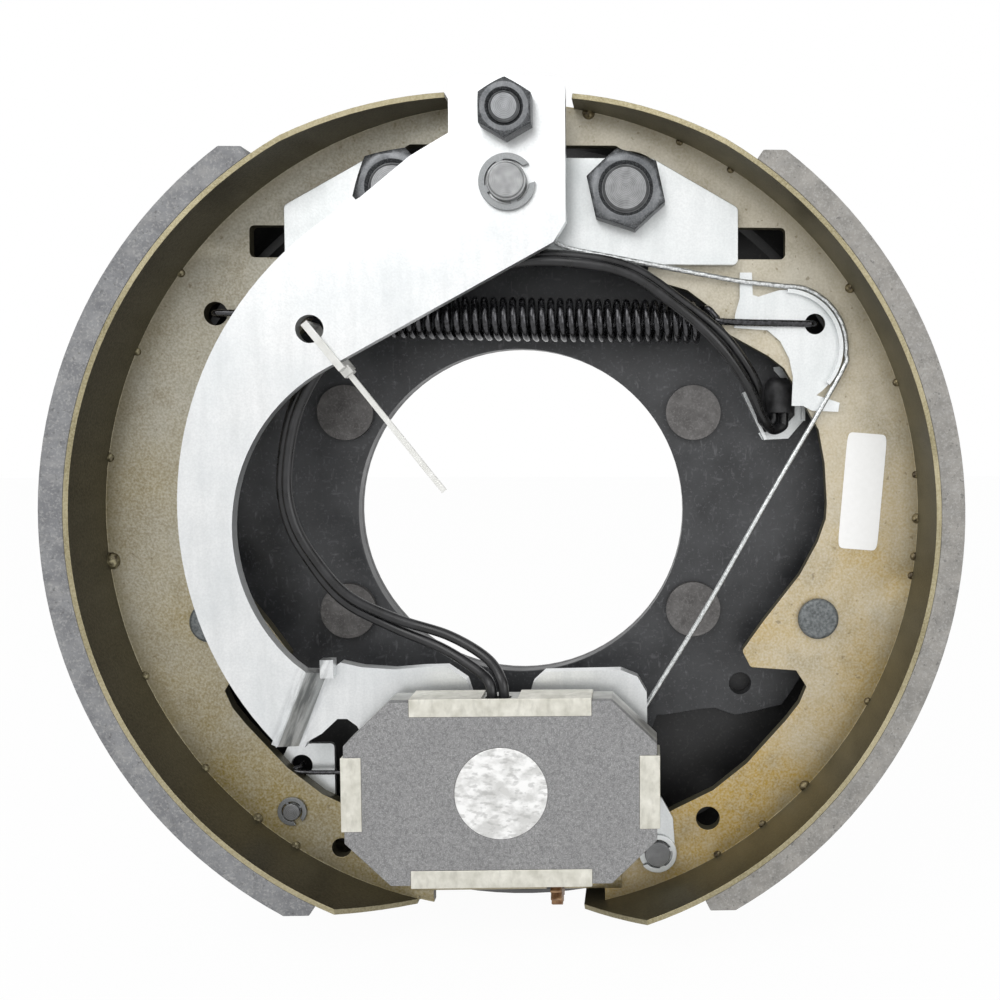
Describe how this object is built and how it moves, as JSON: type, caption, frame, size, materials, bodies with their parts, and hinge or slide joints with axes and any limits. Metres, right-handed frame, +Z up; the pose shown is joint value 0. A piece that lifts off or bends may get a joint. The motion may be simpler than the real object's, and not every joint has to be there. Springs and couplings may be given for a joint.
{
  "type": "electric trailer brake assembly",
  "caption": "Electric drum brake for a trailer wheel: two lined shoes, a cam arm with a magnet, springs and a cable adjuster on a round backing plate.",
  "frame": {"origin": "centre of the hub hole on the rear mounting face of the backing plate", "axes": "+Y out of the back along the wheel's axis, -Y the open side that the drum covers, +Z up towards the anchor, the magnet at the bottom, +X to the right as the open side is seen"},
  "size_m": [0.303, 0.0833, 0.296],
  "materials": {
    "black_paint": "satin black paint, scuffed",
    "stud_steel": "dull grey steel",
    "dark_steel": "dark phosphate",
    "bright_zinc": "bright zinc plate",
    "clip_steel": "grey spring steel",
    "yellow_zinc": "pale yellow zinc passivate with weld marks",
    "lining": "moulded friction material, mottled grey",
    "magnet_shell": "grey steel",
    "sintered_face": "speckled sintered iron",
    "clamp_sheet": "pale zinc sheet",
    "bright_core": "ground bright steel, scratched",
    "copper": "enamelled copper winding",
    "spring_steel": "black oiled spring steel",
    "star_metal": "brown plated steel",
    "cable_steel": "bright wire rope",
    "lead_jacket": "black vinyl insulation",
    "boot_rubber": "black rubber",
    "tie_nylon": "natural white nylon",
    "label_paper": "blank white sticker"
  },
  "bodies": {
    "backing": {"backing_plate": "black_paint", "carrier_plate": "black_paint", "mounting_studs": "stud_steel", "anchor_studs": "dark_steel", "anchor_nuts": "dark_steel", "anchor_plate": "bright_zinc", "pivot_post": "stud_steel", "pivot_clip": "clip_steel", "hold_down_pins": "stud_steel", "adjuster_nut": "yellow_zinc", "adjuster_socket": "yellow_zinc", "cable_eye": "cable_steel", "grommet": "boot_rubber", "lead_clip": "bright_zinc", "lead_wire_long": "lead_jacket", "lead_wire_short": "lead_jacket"},
    "arm": {"actuating_arm": "bright_zinc", "cam_bolt": "dark_steel", "cam_nut": "dark_steel", "cam_bush": "stud_steel", "magnet_post": "stud_steel", "magnet_spring": "spring_steel", "cable_tie": "tie_nylon"},
    "magnet": {"magnet_housing": "magnet_shell", "magnet_face": "sintered_face", "magnet_clamps": "clamp_sheet", "magnet_core": "bright_core", "magnet_coil": "copper"},
    "primary": {"primary_shoe": "yellow_zinc", "primary_lining": "lining", "primary_pin": "stud_steel", "primary_pin_clip": "clip_steel", "spring_plate": "bright_zinc", "lower_spring": "spring_steel", "retractor_spring": "spring_steel"},
    "secondary": {"secondary_shoe": "yellow_zinc", "secondary_lining": "lining", "lever_pin": "stud_steel", "lever_pin_clip": "bright_zinc", "cable_guide": "bright_zinc", "label": "label_paper", "adjuster_cable": "cable_steel"},
    "lever": {"adjuster_lever": "bright_zinc", "cable_hook": "cable_steel"},
    "star": {"adjuster_screw": "star_metal"}
  },
  "joints": [
    {"name": "arm_swing", "type": "hinge", "parent": "backing", "child": "arm", "pos_m": [0, -0.0418, 0.1116], "axis": [0, 1, 0], "range_deg": [-3, 3], "stiffness_Nm_per_rad": 200, "deforming": ["lead_wire_long", "lead_wire_short"]},
    {"name": "primary_shoe_pivot", "type": "hinge", "parent": "backing", "child": "primary", "pos_m": [-0.034, -0.0233, -0.1265], "axis": [0, 1, 0], "range_deg": [-0.3, 0.3], "deforming": ["retractor_spring"]},
    {"name": "secondary_shoe_pivot", "type": "hinge", "parent": "backing", "child": "secondary", "pos_m": [0.034, -0.0233, -0.1265], "axis": [0, 1, 0], "range_deg": [-0.3, 0.3]},
    {"name": "magnet_slide", "type": "slide", "parent": "arm", "child": "magnet", "axis": [0, 1, 0], "range_m": [0, 0.003], "stiffness_N_per_m": 3000, "deforming": ["magnet_spring"]},
    {"name": "lever_swing", "type": "hinge", "parent": "secondary", "child": "lever", "pos_m": [0.0494, -0.0271, -0.1206], "axis": [0, 1, 0], "range_deg": [0, 8], "stiffness_Nm_per_rad": 2, "deforming": ["lower_spring", "adjuster_cable"]},
    {"name": "star_turn", "type": "hinge", "parent": "backing", "child": "star", "pos_m": [0.014, -0.0233, -0.1265], "axis": [1, 0, 0], "continuous": true}
  ],
  "couplings": [
    {"joint": "primary_shoe_pivot", "follows": "arm_swing", "ratio": 0.087},
    {"joint": "secondary_shoe_pivot", "follows": "arm_swing", "ratio": 0.087}
  ]
}
